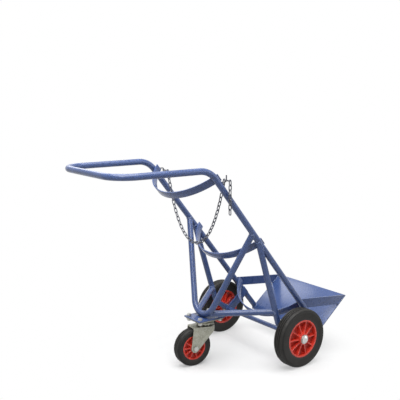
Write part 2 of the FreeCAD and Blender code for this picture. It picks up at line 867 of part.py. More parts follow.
def castor_fork(crown_top):
    """A pressed fork: a round crown with a front skirt, over two legs that taper back to the wheel bolt."""
    body = new_body("castor_fork")
    thickness = size("crown_thickness")
    half_gap = size("castor_hub_length") / 2 + size("side_clearance")
    half_width = half_gap + size("fork_leg_thickness")
    crown_radius = size("crown_diameter") / 2
    front = square_root(crown_radius * crown_radius - half_width * half_width)
    rear = -size("fork_leg_rear")
    crown = outline(body, "crown_outline", "XY_Plane", [
        (rear, -half_width),
        (front, -half_width),
        (front, half_width),
        (rear, half_width),
    ])
    crown.AttachmentOffset = Placement(Vector(0, 0, (crown_top - thickness).value), UPRIGHT)
    bind(crown, "AttachmentOffset.Base.z", crown_top - thickness)
    pad(body, crown, thickness)
    disc = body.newObject("PartDesign::AdditiveCylinder", "crown_disc")
    bind(disc, "Radius", crown_radius)
    bind(disc, "Height", thickness)
    disc.AttachmentOffset = crown.AttachmentOffset
    disc.AttachmentSupport = (origin_plane(body, "XY_Plane"), [""])
    disc.MapMode = "FlatFace"
    bind(disc, "AttachmentOffset.Base.z", crown_top - thickness)
    shoulder = size("fork_leg_shoulder")
    inner_share = (crown_radius - size("fork_leg_thickness")) / crown_radius
    skirt = outline(body, "skirt_outline", "XY_Plane", [
        (front, -half_width, crown_radius),
        (crown_radius, 0, crown_radius),
        (front, half_width),
        (front * inner_share, half_width * inner_share, -(crown_radius * inner_share)),
        (crown_radius * inner_share, 0, -(crown_radius * inner_share)),
        (front * inner_share, -half_width * inner_share),
    ])
    skirt.AttachmentOffset = Placement(Vector(0, 0, (crown_top - shoulder).value), UPRIGHT)
    bind(skirt, "AttachmentOffset.Base.z", crown_top - shoulder)
    pad(body, skirt, shoulder)
    boss = size("fork_boss_radius")
    tilt = size("fork_boss_angle")
    wheel_x = -size("castor_trail")
    wheel_z = size("castor_wheel_diameter") / 2
    leg = outline(body, "leg_outline", "XZ_Plane", [
        (rear, crown_top),
        (wheel_x - boss, wheel_z, boss),
        (wheel_x, wheel_z - boss, boss),
        (wheel_x + boss * cosine(tilt), wheel_z - boss * sine(tilt)),
        (front, crown_top - shoulder),
        (front, crown_top),
    ], [(wheel_x, wheel_z, size("castor_bolt_diameter") / 2)])
    leg.AttachmentOffset = Placement(Vector(0, 0, half_gap.value), UPRIGHT)
    bind(leg, "AttachmentOffset.Base.z", half_gap)
    right_leg = pad(body, leg, size("fork_leg_thickness"))
    legs = body.newObject("PartDesign::Mirrored", "fork_legs")
    legs.Originals = [right_leg]
    legs.MirrorPlane = (origin_plane(body, "XZ_Plane"), [""])
    body.Tip = legs
    bore = body.newObject("PartDesign::SubtractiveCylinder", "king_pin_bore")
    bind(bore, "Radius", size("king_pin_diameter") / 2 + clearance)
    bind(bore, "Height", crown_top)
    place(body, castor_x, 0, 0, YAWED)


def castor_wheel():
    """The castor wheel on its sleeve, bush and bolt, trailing behind the king pin."""
    yaw = size("castor_yaw")
    radius = size("castor_wheel_diameter") / 2
    wheel_x = castor_x - size("castor_trail") * cosine(yaw)
    wheel_y = size("castor_trail") * sine(yaw)
    outward = YAWED.multiply(TO_LEFT)
    across_x = sine(yaw)
    across_y = cosine(yaw)

    def seat(piece, distance):
        place(piece, wheel_x + distance * across_x, wheel_y + distance * across_y, radius, outward)

    length = size("castor_hub_length")
    rim_radius = size("castor_rim_diameter") / 2
    width = size("castor_tyre_width")
    bush_radius = size("castor_bush_diameter") / 2
    sleeve_radius = size("castor_sleeve_diameter") / 2
    bolt_radius = size("castor_bolt_diameter") / 2
    corners = tyre_corners(radius * 2, width, size("castor_shoulder_radius"), rim_radius, 2)
    seat(turned("castor_tyre", corners), -width / 2)
    hub = ribbed_hub(
        "castor_wheel_centre", length, bush_radius, size("castor_hub_diameter") / 2, size("castor_hub_web"),
        rim_radius, size("castor_rim_width"), size("castor_rim_wall"), count_of("hub_rib_count"),
    )
    seat(hub, -length / 2)
    seat(ring("castor_bush", sleeve_radius + clearance, bush_radius, length), -length / 2)
    sleeve_length = length + size("side_clearance") * 2
    seat(ring("castor_axle_sleeve", bolt_radius, sleeve_radius, sleeve_length), -sleeve_length / 2)

    half_width = sleeve_length / 2 + size("fork_leg_thickness")
    head_height = size("castor_bolt_head_height")
    nut_height = size("castor_nut_height")
    head = hex_prism("wheel_bolt_head", size("castor_bolt_across"), head_height)
    seat(head, -half_width - head_height)
    shank = doc.addObject("Part::Cylinder", "wheel_bolt_shank")
    bind(shank, "Radius", bolt_radius)
    bind(shank, "Height", half_width * 2 + nut_height + size("castor_bolt_end"))
    seat(shank, -half_width)
    keep(joined("wheel_bolt", [head, shank]), "castor_wheel_bolt")
    nut = hex_prism("wheel_nut_block", size("castor_bolt_across"), nut_height)
    seat(nut, half_width)
    keep(cut("wheel_nut", nut, shank), "castor_wheel_nut")


def chain_link(pitch):
    """One link: eight-sided wire bent round a long loop with mitred corners, lying along X."""
    sides = 8
    turn = math.radians(360 / sides)
    wire = size("chain_wire").value / 2
    half_width = (size("chain_inner_width").value + size("chain_wire").value) / 2
    half_length = (pitch + size("chain_wire").value) / 2
    bend_centre = half_length - half_width
    reach = 1 / math.cos(turn / 2)
    rings = []
    for index in range(sides):
        angle = (index + 0.5) * turn
        outward = Vector(math.cos(angle), math.sin(angle), 0) * reach
        centre = outward * half_width + Vector(math.copysign(bend_centre, outward.x), 0, 0)
        rings.append([
            centre + outward * wire * reach * math.cos((side + 0.5) * turn)
            + Vector(0, 0, wire * reach * math.sin((side + 0.5) * turn))
            for side in range(sides)
        ])
    faces = []
    for index, near in enumerate(rings):
        far = rings[(index + 1) % sides]
        for side in range(sides):
            other = (side + 1) % sides
            loop = [near[side], far[side], far[other], near[other], near[side]]
            faces.append(Part.Face(Part.makePolygon(loop)))
    solid = Part.makeSolid(Part.makeShell(faces))
    if solid.Volume < 0:
        solid.reverse()
    return solid


def catenary(start, end, count, step):
    """Points at equal steps along a chain that hangs between two level points."""
    span = (end - start).Length
    length = count * step
    low = span / 20
    high = span * 20
    while high - low > 1e-9:
        middle = (low + high) / 2
        if 2 * middle * math.sinh(span / 2 / middle) > length:
            low = middle
        else:
            high = middle
    heading = (end - start).normalize()
    top = low * math.cosh(span / 2 / low)
    points = []
    for index in range(count + 1):
        across = low * math.asinh((index * step - length / 2) / low)
        drop = top - low * math.cosh(across / low)
        points.append(start + heading * (across + span / 2) - Vector(0, 0, drop))
    return points


def link_run(label, link, points):
    """Links along a run of points in one upright plane, each a quarter turn from the last."""
    shapes = []
    for index, (begin, finish) in enumerate(zip(points, points[1:])):
        heading = (finish - begin).normalize()
        flat = Vector(0, -heading.z, heading.y)
        width = flat if index % 2 == 0 else Vector(1, 0, 0)
        copy = link.copy()
        turn = Rotation(heading, width, heading.cross(width), "XYZ")
        copy.Placement = Placement((begin + finish) / 2, turn)
        shapes.append(copy)
    run = keep(doc.addObject("Part::Feature", label), label)
    run.Shape = Part.makeCompound(shapes)


def chain(frame_outside):
    """The load chain: a hook on the right rail, a staple on the left, and the links that hang from them."""
    side = half_spacing.value
    rod_radius = size("hook_rod_diameter") / 2
    bend = size("hook_bend_radius").value
    root = rail_point(size("hook_along").value, 0, -side)
    crook = root + Vector(size("hook_reach").value, 0, 0)
    hook_edges = bent_path([root, crook, crook + Vector(0, 0, size("hook_tip").value)], bend)
    keep(cut("hook", swept("hook_rod", hook_edges, rod_radius), frame_outside), "chain_hook")

    seat_height = crook.z + size("hook_seat_rise").value
    half_staple = Vector(0, 0, size("staple_width").value / 2)
    front = Vector(crook.x, side, seat_height)
    rail_drop = math.tan(math.radians(lean.value))

    def rail_behind(point):
        return Vector(root.x - (point.z - root.z) * rail_drop, point.y, point.z)

    staple_points = [
        rail_behind(front + half_staple),
        front + half_staple,
        front - half_staple,
        rail_behind(front - half_staple),
    ]
    staple_edges = bent_path(staple_points, bend)
    keep(cut("staple", swept("staple_rod", staple_edges, rod_radius), frame_outside), "chain_anchor_staple")

    end_link = chain_link(size("chain_end_pitch").value)
    wire = size("chain_wire").value
    gap = size("chain_clearance").value
    end_reach = (size("chain_end_pitch").value + wire) / 2
    hook_link = Vector(crook.x, -side - size("hook_link_offset").value, seat_height)
    anchor_link = front + Vector(0, rod_radius.value + wire / 2 + gap - end_reach, 0)
    ends = []
    for centre in (hook_link, anchor_link):
        copy = end_link.copy()
        copy.Placement = Placement(centre, Rotation(Vector(0, 0, 1), 90))
        ends.append(copy)
    end_links = keep(doc.addObject("Part::Feature", "chain_end_links"), "chain_end_links")
    end_links.Shape = Part.makeCompound(ends)

    link = chain_link(size("chain_pitch").value)
    step = size("chain_pitch").value - gap
    hang = Vector(0, 0, (wire + gap) / 2)
    reach = Vector(0, end_reach, 0)
    span = catenary(hook_link + reach + hang, anchor_link - reach + hang, count_of("chain_span_count"), step)
    link_run("chain_span_links", link, span)
    tail_top = hook_link - reach + hang
    tail = [tail_top - Vector(0, 0, step * index) for index in range(count_of("chain_tail_count") + 1)]
    link_run("chain_tail_links", link, tail)


def build():
    axle_body = axle()
    frame_outside = main_frame_tube()
    yoke_outside = castor_yoke_tube(frame_outside)
    for side_name, sign, outward in SIDES:
        strut_outside = strut(side_name, sign, frame_outside, axle_body)
        base_stay(side_name, sign, yoke_outside, strut_outside)
        toe_guard(side_name, sign)
        axle_lug(side_name, sign)
        main_wheel(side_name, sign, outward)
    cradle_band("upper_cradle_band", size("upper_band_along"))
    cradle_band("middle_cradle_band", size("middle_band_along"))
    cradle_band("lower_cradle_band", size("lower_band_along"))
    toe_plate()
    castor_plates()
    castor_fasteners()
    crown_top = castor_swivel()
    castor_fork(crown_top)
    castor_wheel()
    chain(frame_outside)


def check():
    """Stop before anything is written if an object failed or a piece is not sound."""
    for item in doc.Objects:
        if "Invalid" in item.State or "Error" in item.State:
            raise RuntimeError(f"{item.Label} failed: {item.State}")
    for node in nodes:
        if node.Shape.isNull() or not node.Shape.isValid() or not node.Shape.Solids:
            raise RuntimeError(f"{node.Label} is not a sound solid")


build()
doc.recompute()
check()
os.makedirs("parts", exist_ok=True)
for node in nodes:
    node.Shape.exportStep(f"parts/{node.Label}.step")
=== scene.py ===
import math

import bmesh
import bpy
import numpy as np
from mathutils import Matrix, Vector
from mathutils.bvhtree import BVHTree


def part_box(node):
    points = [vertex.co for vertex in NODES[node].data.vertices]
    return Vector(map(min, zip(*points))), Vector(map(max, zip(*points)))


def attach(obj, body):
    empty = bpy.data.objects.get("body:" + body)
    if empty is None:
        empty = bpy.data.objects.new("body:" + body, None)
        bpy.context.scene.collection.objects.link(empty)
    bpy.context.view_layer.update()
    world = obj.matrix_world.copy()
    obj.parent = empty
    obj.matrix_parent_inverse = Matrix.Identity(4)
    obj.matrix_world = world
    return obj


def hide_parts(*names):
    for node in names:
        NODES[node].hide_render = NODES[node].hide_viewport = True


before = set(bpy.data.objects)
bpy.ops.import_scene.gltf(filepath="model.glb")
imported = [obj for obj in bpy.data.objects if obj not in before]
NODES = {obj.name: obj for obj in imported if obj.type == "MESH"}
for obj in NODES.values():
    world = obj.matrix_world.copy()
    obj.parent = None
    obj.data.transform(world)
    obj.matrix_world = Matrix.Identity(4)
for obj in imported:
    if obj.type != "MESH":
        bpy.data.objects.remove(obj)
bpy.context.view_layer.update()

SIDES = (("left", 1), ("right", -1))

# Places on the frame, in metres: the leaning rails, the axle and the castor.
LEAN = math.radians(39.0)
FOOT_X = 0.4267135
FOOT_Z = 0.1082049
HALF_SPACING = 0.2175
TUBE_RADIUS = 0.0127
AXLE_X = 0.2567718
AXLE_Z = 0.125
CASTOR_X = -0.0402282

# Wheels: where the rubber meets the red centres, how the castor is turned, and the rings on the rubber.
WHEEL_RIM_RADIUS = 0.080
CASTOR_RIM_RADIUS = 0.052
CASTOR_YAW = math.radians(-7.0)
TYRE_RING_PITCH = 0.006
# The shoulder groove: its place, its edges, its bump depth, and the painted shade that darkens it.
SHOULDER_GROOVE_SHARE = 0.82
SHOULDER_GROOVE_EDGES = (0.0028, 0.0014)
SHOULDER_GROOVE_DEPTH = 4.0
SHOULDER_GROOVE_SHADE = 0.8

# Where the tubes are welded: distances up the rails, heights, and points beside the axle and castor.
STRUT_TOP_ALONG = 0.573
STRUT_KNEE_ARM = Vector((-0.071, 0.0, 0.050))
YOKE_TOP_ALONG = 0.619
YOKE_FOOT_ARM = -0.303
YOKE_FOOT_HALF_WIDTH = 0.068
YOKE_FOOT_Z = 0.260
STAY_TOP_Z = 0.240
STAY_FOOT_ARM = -0.013
STAY_FOOT_HALF_WIDTH = 0.030
STAY_FOOT_Z = 0.225

# Where the flat bars are welded to the rails and the toe plate.
BANDS_ALONG = (("lower", 0.172), ("middle", 0.554), ("upper", 0.908))
BAND_SEAMS = (("front", 0.0092, 0.0098), ("rear", -0.0010, 0.0131))
BAND_HALF_SEAM = 0.0155
RAIL_FOOT_ALONG = 0.0008
RAIL_FOOT_STEPS = 24
GUARD_HALF_THICKNESS = 0.0025
GUARD_TOE_ALONG = 0.0006
GUARD_TOE_AHEAD = (0.152, 0.200)
GUARD_RAIL_ALONG = (0.146, 0.190)
GUARD_RAIL_AHEAD = TUBE_RADIUS - 0.0002

# Weld beads: their radii, and the steps, ripples and tapered ends along them.
TUBE_BEAD_RADIUS = 0.0027
FOOT_BEAD_RADIUS = 0.0022
BAR_BEAD_RADIUS = 0.0019
BEAD_STEP = 0.0011
BEAD_SIDES = 8
BEAD_SMOOTHING = 5
RIPPLE_STEPS = 3
RIPPLE_DEPTH = 0.16
TAPER_START = 0.35
TAPER_STEP = 0.3

# Finding a seam: how far from the joint to look, how near the pieces lie, and the sectors round the tube.
SEAM_REACH = 0.05
SEAM_GAP = 0.0006
SEAM_SECTORS = 36

# Corners of CAD facets closer than this are the same corner.
JOIN_DISTANCE = 2e-6

# Round-wire chain links: steps round each bend, sides of the wire, and the swelling of the butt weld.
LINK_BEND_STEPS = 12
LINK_WIRE_SIDES = 10
LINK_WELD_HALF_LENGTH = 0.0013
LINK_WELD_SWELL = 1.12

# Rounded edges, in metres, and the angles that part sharp edges from gentle ones.
PLATE_EDGE = 0.0007
MOULDED_EDGE = 0.0006
FIXING_EDGE = 0.0005
EDGE_SEGMENTS = 2
SHARP_ANGLE = math.radians(50.0)
GENTLE_ANGLE = math.radians(32.0)

# The studio floor: the middle of the patch under the frame, and half the width of the whole.
FLOOR_CENTRE = (0.10, 0.0, 0.0)
FLOOR_HALF_SIZE = 12.0

# Lamps: name, place, target, width in metres and power in watts.
LAMPS = (
    ("overhead", (-0.5, -0.5, 3.4), (0.0, 0.0, 0.4), 4.0, 255.0),
    ("key", (-2.4, -2.0, 2.6), (0.0, 0.0, 0.4), 1.4, 34.0),
    ("fill", (2.6, -2.6, 1.6), (0.0, 0.0, 0.4), 2.4, 24.0),
    ("rim", (0.6, 3.0, 2.6), (0.0, 0.0, 0.5), 2.0, 26.0),
)

# The camera: its heading, how far it looks down, its place, and its lens and sensor in millimetres.
CAMERA_YAW = math.radians(-36.18)
CAMERA_PITCH = math.radians(9.08)
CAMERA_PLACE = Vector((AXLE_X - 1.971, -2.2558, 1.1523))
CAMERA_LENS = 61.91
SENSOR_WIDTH = 36.0


def rail_point(along, ahead, side):
    """A point given up a rail, ahead of the plane of the rails and across the trolley."""
    x = FOOT_X + ahead * math.cos(LEAN) - along * math.sin(LEAN)
    z = FOOT_Z + ahead * math.sin(LEAN) + along * math.cos(LEAN)
    return Vector((x, side, z))


def rgb(red, green, blue):
    return (red, green, blue, 1.0)


class NodeTree:
    """A tree of shader nodes, with short calls to add and join them."""

    def __init__(self, tree, output_kind):
        self.tree = tree
        self.tree.nodes.clear()
        self.output = self.add(output_kind)

    def fill(self, node, key, value):
        """Link a socket to an input, or set the input to a plain value."""
        if isinstance(value, bpy.types.NodeSocket):
            self.tree.links.new(value, node.inputs[key])
        else:
            node.inputs[key].default_value = value

    def add(self, kind, inputs=(), **settings):
        node = self.tree.nodes.new(kind)
        for key, value in settings.items():
            setattr(node, key, value)
        for key, value in dict(inputs).items():
            self.fill(node, key, value)
        return node

    def noise(self, coords, scale, detail=4.0, roughness=0.55):
        inputs = {"Vector": coords, "Scale": scale, "Detail": detail, "Roughness": roughness}
        return self.add("ShaderNodeTexNoise", inputs).outputs["Fac"]

    def ramp(self, value, low, high, bottom=0.0, top=1.0):
        """Carry a value from one range to another, held at both ends."""
        inputs = {"Value": value, "From Min": low, "From Max": high, "To Min": bottom, "To Max": top}
        return self.add("ShaderNodeMapRange", inputs).outputs["Result"]

    def compute(self, operation, *values):
        return self.add("ShaderNodeMath", enumerate(values), operation=operation).outputs[0]

    def mix(self, factor, first, second):
        """Blend two colours."""
        inputs = {0: factor, 6: first, 7: second}
        return self.add("ShaderNodeMix", inputs, data_type="RGBA").outputs[2]

    def seen(self):
        """One where the surface is seen or mirrored, and zero for the light that it throws."""
        path = self.add("ShaderNodeLightPath").outputs
        through = self.compute("MAXIMUM", path["Is Camera Ray"], path["Is Transmission Ray"])
        return self.compute("MAXIMUM", through, path["Is Glossy Ray"])

    def close(self, output):
        """Make a shader the tree's surface."""
        self.tree.links.new(output, self.output.inputs["Surface"])


class Material(NodeTree):
    """A material whose pattern lies in the piece's own coordinates."""

    def __init__(self, name):
        self.material = bpy.data.materials.new(name)
        self.material.use_nodes = True
        super().__init__(self.material.node_tree, "ShaderNodeOutputMaterial")
        self.coords = self.add("ShaderNodeTexCoord").outputs["Object"]

    def worn_edges(self, radius, scale):
        """A mask of rubbed patches along outside edges."""
        rounded = self.add("ShaderNodeBevel", {"Radius": radius}, samples=8).outputs["Normal"]
        flat = self.add("ShaderNodeNewGeometry").outputs["Normal"]
        normals = {0: rounded, 1: flat}
        agreement = self.add("ShaderNodeVectorMath", normals, operation="DOT_PRODUCT").outputs["Value"]
        edge = self.ramp(agreement, 0.995, 0.90)
        patches = self.ramp(self.noise(self.coords, scale, 5.0, 0.7), 0.50, 0.66)
        return self.compute("MULTIPLY", edge, patches)

    def finish(self, color, roughness, height, distance, **values):
        """Close the tree with a principled surface."""
        bump = self.add("ShaderNodeBump", {"Strength": 1.0, "Distance": distance, "Height": height})
        inputs = {"Base Color": color, "Roughness": roughness, "Normal": bump.outputs["Normal"]}
        for key, value in values.items():
            inputs[key.replace("_", " ")] = value
        self.close(self.add("ShaderNodeBsdfPrincipled", inputs).outputs["BSDF"])
        return self.material


def blue_enamel(name, rubbed):
    """Sprayed enamel: slight orange peel, uneven gloss and, on flat bars and plates, rubbed edges."""
    paint_film = Material(name)
    coords = paint_film.coords
    cloud = paint_film.ramp(paint_film.noise(coords, 7.0), 0.35, 0.65)
    color = paint_film.mix(cloud, rgb(0.027, 0.052, 0.146), rgb(0.038, 0.066, 0.173))
    speck = paint_film.ramp(paint_film.noise(coords, 420.0, 2.0), 0.70, 0.76)
    color = paint_film.mix(paint_film.compute("MULTIPLY", speck, 0.15), color, rgb(0.024, 0.042, 0.110))
    if rubbed:
        worn = paint_film.worn_edges(0.0012, 60.0)
        color = paint_film.mix(paint_film.compute("MULTIPLY", worn, 0.5), color, rgb(0.16, 0.20, 0.30))
    smear = paint_film.ramp(paint_film.noise(coords, 38.0, 5.0), 0.3, 0.7, 0.26, 0.30)
    peel = paint_film.noise(coords, 220.0, 1.0)
    return paint_film.finish(color, smear, peel, 0.000008, Specular_IOR_Level=0.38, Coat_Weight=0.22,
                             Coat_Roughness=0.14)


def tyre_rubber(name, centre, turn, rim_radius, outer_radius):
    """Black rubber with fine rings on the side walls, a groove at the shoulder darkened by painted shade,
    and a little dust.
    """
    rubber = Material(name)
    coords = rubber.coords
    placing = {"Vector": coords, "Location": centre, "Rotation": (0.0, 0.0, turn)}
    local = rubber.add("ShaderNodeMapping", placing, vector_type="TEXTURE").outputs["Vector"]
    parts = rubber.add("ShaderNodeSeparateXYZ", {"Vector": local}).outputs
    squares = [rubber.compute("POWER", parts[axis], 2.0) for axis in ("X", "Z")]
    radius = rubber.compute("SQRT", rubber.compute("ADD", *squares))
    rings = rubber.compute("SINE", rubber.compute("MULTIPLY", radius, 2.0 * math.pi / TYRE_RING_PITCH))
    fine = rubber.noise(coords, 700.0, 3.0)
    height = rubber.compute("MULTIPLY_ADD", rings, 0.45, fine)
    groove_radius = rim_radius + SHOULDER_GROOVE_SHARE * (outer_radius - rim_radius)
    off_groove = rubber.compute("ABSOLUTE", rubber.compute("SUBTRACT", radius, groove_radius))
    # The groove mask gives both the bump of the groove and its painted shade.
    groove = rubber.ramp(off_groove, *SHOULDER_GROOVE_EDGES)
    height = rubber.compute("MULTIPLY_ADD", groove, -SHOULDER_GROOVE_DEPTH, height)
    dust = rubber.ramp(rubber.noise(coords, 26.0, 6.0, 0.65), 0.46, 0.72, 0.0, 0.5)
    color = rubber.mix(dust, rgb(0.0095, 0.0089, 0.0078), rgb(0.026, 0.024, 0.021))
    near_rim = rubber.ramp(radius, rim_radius + 0.012, rim_radius, 0.0, 0.35)
    color = rubber.mix(near_rim, color, rgb(0.040, 0.036, 0.035))
    # Painted shade: the shoulder groove darkened almost to black.
    shade = rubber.compute("MULTIPLY", groove, SHOULDER_GROOVE_SHADE)
    color = rubber.mix(shade, color, rgb(0.002, 0.002, 0.002))
    rough = rubber.ramp(fine, 0.3, 0.7, 0.50, 0.68)
    return rubber.finish(color, rough, height, 0.00022, Specular_IOR_Level=0.27)


def red_plastic():
    """Moulded red plastic: satin, with faint flow marks and paler rubbed edges."""
    plastic = Material("red_plastic")
    coords = plastic.coords
    flow = plastic.ramp(plastic.noise(coords, 34.0, 5.0, 0.6), 0.35, 0.65)
    color = plastic.mix(flow, rgb(0.42, 0.023, 0.013), rgb(0.54, 0.036, 0.019))
    worn = plastic.worn_edges(0.0010, 90.0)
    color = plastic.mix(plastic.compute("MULTIPLY", worn, 0.5), color, rgb(0.66, 0.11, 0.10))
    rough = plastic.ramp(plastic.noise(coords, 120.0, 4.0), 0.3, 0.7, 0.28, 0.42)
    grain = plastic.noise(coords, 900.0, 2.0)
    return plastic.finish(color, rough, grain, 0.00008, Coat_Weight=0.12, Coat_Roughness=0.2)


def plated(name, dark, pale, smooth, rough, crystal_scale, metallic):
    """Plated steel: cloudy crystals, gloss between two roughnesses, and fine scratches."""
    metal = Material(name)
    coords = metal.coords
    crystals = metal.add("ShaderNodeTexVoronoi", {"Vector": coords, "Scale": crystal_scale}, feature="F1")
    cloud = metal.noise(coords, crystal_scale * 0.3, 5.0)
    blend = metal.compute("MULTIPLY_ADD", crystals.outputs["Distance"], 0.5, cloud)
    color = metal.mix(metal.ramp(blend, 0.4, 0.95), dark, pale)
    stretched = metal.add("ShaderNodeMapping", {"Vector": coords, "Scale": (40.0, 900.0, 900.0)})
    scratch = metal.noise(stretched.outputs["Vector"], 1.0, 2.0)
    gloss = metal.ramp(cloud, 0.3, 0.7, smooth, rough)
    return metal.finish(color, gloss, scratch, 0.00005, Metallic=metallic)


def bush_plastic():
    """Off-white bearing plastic with a fine moulded grain."""
    plastic = Material("bush_plastic")
    cloud = plastic.ramp(plastic.noise(plastic.coords, 80.0), 0.35, 0.65)
    color = plastic.mix(cloud, rgb(0.66, 0.64, 0.58), rgb(0.74, 0.72, 0.67))
    rough = plastic.ramp(cloud, 0.0, 1.0, 0.45, 0.55)
    return plastic.finish(color, rough, plastic.noise(plastic.coords, 900.0), 0.00006)


def weld_enamel_painted_highlight():
    """Weld beads under the enamel: a paler blue than the frame in random clouds, a painted highlight for
    light on the ripples.
    """
    coating = Material("weld_enamel_painted_highlight")
    cloud = coating.ramp(coating.noise(coating.coords, 160.0, 4.0), 0.4, 0.62)
    # Painted highlight: both blues are paler than the frame's enamel, for light caught by the bead ripples.
    color = coating.mix(cloud, rgb(0.046, 0.078, 0.186), rgb(0.090, 0.124, 0.240))
    rough = coating.ramp(cloud, 0.0, 1.0, 0.28, 0.40)
    grain = coating.noise(coating.coords, 600.0, 2.0)
    return coating.finish(color, rough, grain, 0.0002, Coat_Weight=0.25, Coat_Roughness=0.12)


def smooth_group():
    """A node group that shades smooth across gentle edges and keeps sharp ones."""
    group = bpy.data.node_groups.new("smooth_gentle_edges", "GeometryNodeTree")
    group.interface.new_socket("Geometry", in_out="INPUT", socket_type="NodeSocketGeometry")
    group.interface.new_socket("Geometry", in_out="OUTPUT", socket_type="NodeSocketGeometry")
    start = group.nodes.new("NodeGroupInput")
    end = group.nodes.new("NodeGroupOutput")
    faces = group.nodes.new("GeometryNodeSetShadeSmooth")
    edges = group.nodes.new("GeometryNodeSetShadeSmooth")
    edges.domain = "EDGE"
    angle = group.nodes.new("GeometryNodeInputMeshEdgeAngle")
    gentle = group.nodes.new("FunctionNodeCompare")
    gentle.operation = "LESS_THAN"
    gentle.inputs[1].default_value = GENTLE_ANGLE
    group.links.new(start.outputs[0], faces.inputs["Geometry"])
    group.links.new(faces.outputs["Geometry"], edges.inputs["Geometry"])
    group.links.new(angle.outputs["Unsigned Angle"], gentle.inputs[0])
    group.links.new(gentle.outputs[0], edges.inputs["Shade Smooth"])
    group.links.new(edges.outputs["Geometry"], end.inputs[0])
    return group


def soften(item, edge_width):
    """Join the facets of a piece, round its sharp edges and shade its curves smooth."""
    join = item.modifiers.new("join", "WELD")
    join.merge_threshold = JOIN_DISTANCE
    if edge_width:
        edge = item.modifiers.new("edge", "BEVEL")
        edge.width = edge_width
        edge.segments = EDGE_SEGMENTS
        edge.limit_method = "ANGLE"
        edge.angle_limit = SHARP_ANGLE
        edge.use_clamp_overlap = True
    shade = item.modifiers.new("shade", "NODES")
    shade.node_group = SMOOTH


def paint(material, *names, edge_width=0.0):
    """Give CAD nodes a material, and rounded edges where a width is given."""
    for name in names:
        item = NODES[name]
        item.data.materials.clear()
        item.data.materials.append(material)
        soften(item, edge_width)


def both_sides(name):
    return [f"left_{name}", f"right_{name}"]


def link_item(name, data):
    """Put a new object in the scene."""
    item = bpy.data.objects.new(name, data)
    bpy.context.scene.collection.objects.link(item)
    return item


def join_rings(mesh, rings, closed):
    """Skin a run of rings of corners, each turned to meet the one before."""
    count = len(rings)
    sides = len(rings[0])
    for index in range(count if closed else count - 1):
        near = rings[index]
        far = rings[(index + 1) % count]
        shift = min(range(sides), key=lambda turn: (far[turn].co - near[0].co).length)
        for corner in range(sides):
            following = (corner + 1) % sides
            mesh.faces.new((
                near[corner],
                near[following],
                far[(following + shift) % sides],
                far[(corner + shift) % sides],
            ))
    if not closed:
        mesh.faces.new(reversed(rings[0]))
        mesh.faces.new(rings[-1])


def add_ring(mesh, centre, first_axis, second_axis, radius, sides):
    """A ring of corners round a point, in the plane of two axes."""
    ring = []
    for side in range(sides):
        turn = 2.0 * math.pi * side / sides
        offset = first_axis * math.cos(turn) + second_axis * math.sin(turn)
        ring.append(mesh.verts.new(centre + offset * radius))
    return ring


def new_piece(name, mesh, material, body):
    """Turn a finished mesh into a smooth piece that rides on a body."""
    bmesh.ops.recalc_face_normals(mesh, faces=mesh.faces)
    data = bpy.data.meshes.new(name)
    mesh.to_mesh(data)
    mesh.free()
    data.shade_smooth()
    data.materials.append(material)
    item = link_item(name, data)
    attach(item, body)
    return item


def islands(node):
    """The corner points of each separate solid in a CAD node."""
    mesh = bmesh.new()
    mesh.from_mesh(NODES[node].data)
    bmesh.ops.remove_doubles(mesh, verts=mesh.verts, dist=JOIN_DISTANCE)
    waiting = set(mesh.verts)
    found = []
    while waiting:
        frontier = [waiting.pop()]
        points = []
        while frontier:
            vertex = frontier.pop()
            points.append(vertex.co.copy())
            for edge in vertex.link_edges:
                other = edge.other_vert(vertex)
                if other in waiting:
                    waiting.remove(other)
                    frontier.append(other)
        found.append(np.array(points))
    mesh.free()
    return found


def link_path(half_length, half_width):
    """Steps round a chain link: along, across, the outward heading and the swelling of the butt weld."""
    straight = half_length - half_width
    steps = []
    for end in (1, -1):
        for step in range(LINK_BEND_STEPS + 1):
            turn = math.pi * (step / LINK_BEND_STEPS - 0.5)
            heading = (end * math.cos(turn), end * math.sin(turn))
            along = end * straight + half_width * heading[0]
            steps.append((along, half_width * heading[1], heading, 1.0))
        if end == 1:
            weld = LINK_WELD_HALF_LENGTH
            for along, swell in ((weld, 1.0), (0.0, LINK_WELD_SWELL), (-weld, 1.0)):
                steps.append((along, half_width, (0.0, 1.0), swell))
    return steps


def round_links(node, body, material):
    """Round-wire links in the places of a CAD chain's eight-sided ones."""
    mesh = bmesh.new()
    for points in islands(node):
        centre = points.mean(axis=0)
        arms = points - centre
        axes = np.linalg.eigh(arms.T @ arms)[1].T[::-1]
        length_axis, width_axis, thin_axis = [Vector(axis) for axis in axes]
        half_length, half_width, wire = np.abs(arms @ axes.T).max(axis=0)
        rings = []
        for along, across, heading, swell in link_path(half_length - wire, half_width - wire):
            place = Vector(centre) + length_axis * along + width_axis * across
            outward = length_axis * heading[0] + width_axis * heading[1]
            rings.append(add_ring(mesh, place, outward, thin_axis, wire * swell, LINK_WIRE_SIDES))
        join_rings(mesh, rings, True)
    item = new_piece(f"round_{node}", mesh, material, body)
    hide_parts(node)


def dress_frame():
    """Enamel on the tubes, bars and plates."""
    enamel = blue_enamel("blue_enamel", False)
    tubes = ["main_frame_tube", "castor_yoke_tube", "axle"]
    paint(enamel, *tubes, *both_sides("strut"), *both_sides("base_stay"))
    rubbed = blue_enamel("rubbed_blue_enamel", True)
    bands = ["upper_cradle_band", "middle_cradle_band", "lower_cradle_band"]
    plates = ["toe_plate", "castor_mount_plate", *both_sides("toe_guard"), *both_sides("axle_lug")]
    paint(rubbed, *bands, *plates, edge_width=PLATE_EDGE)


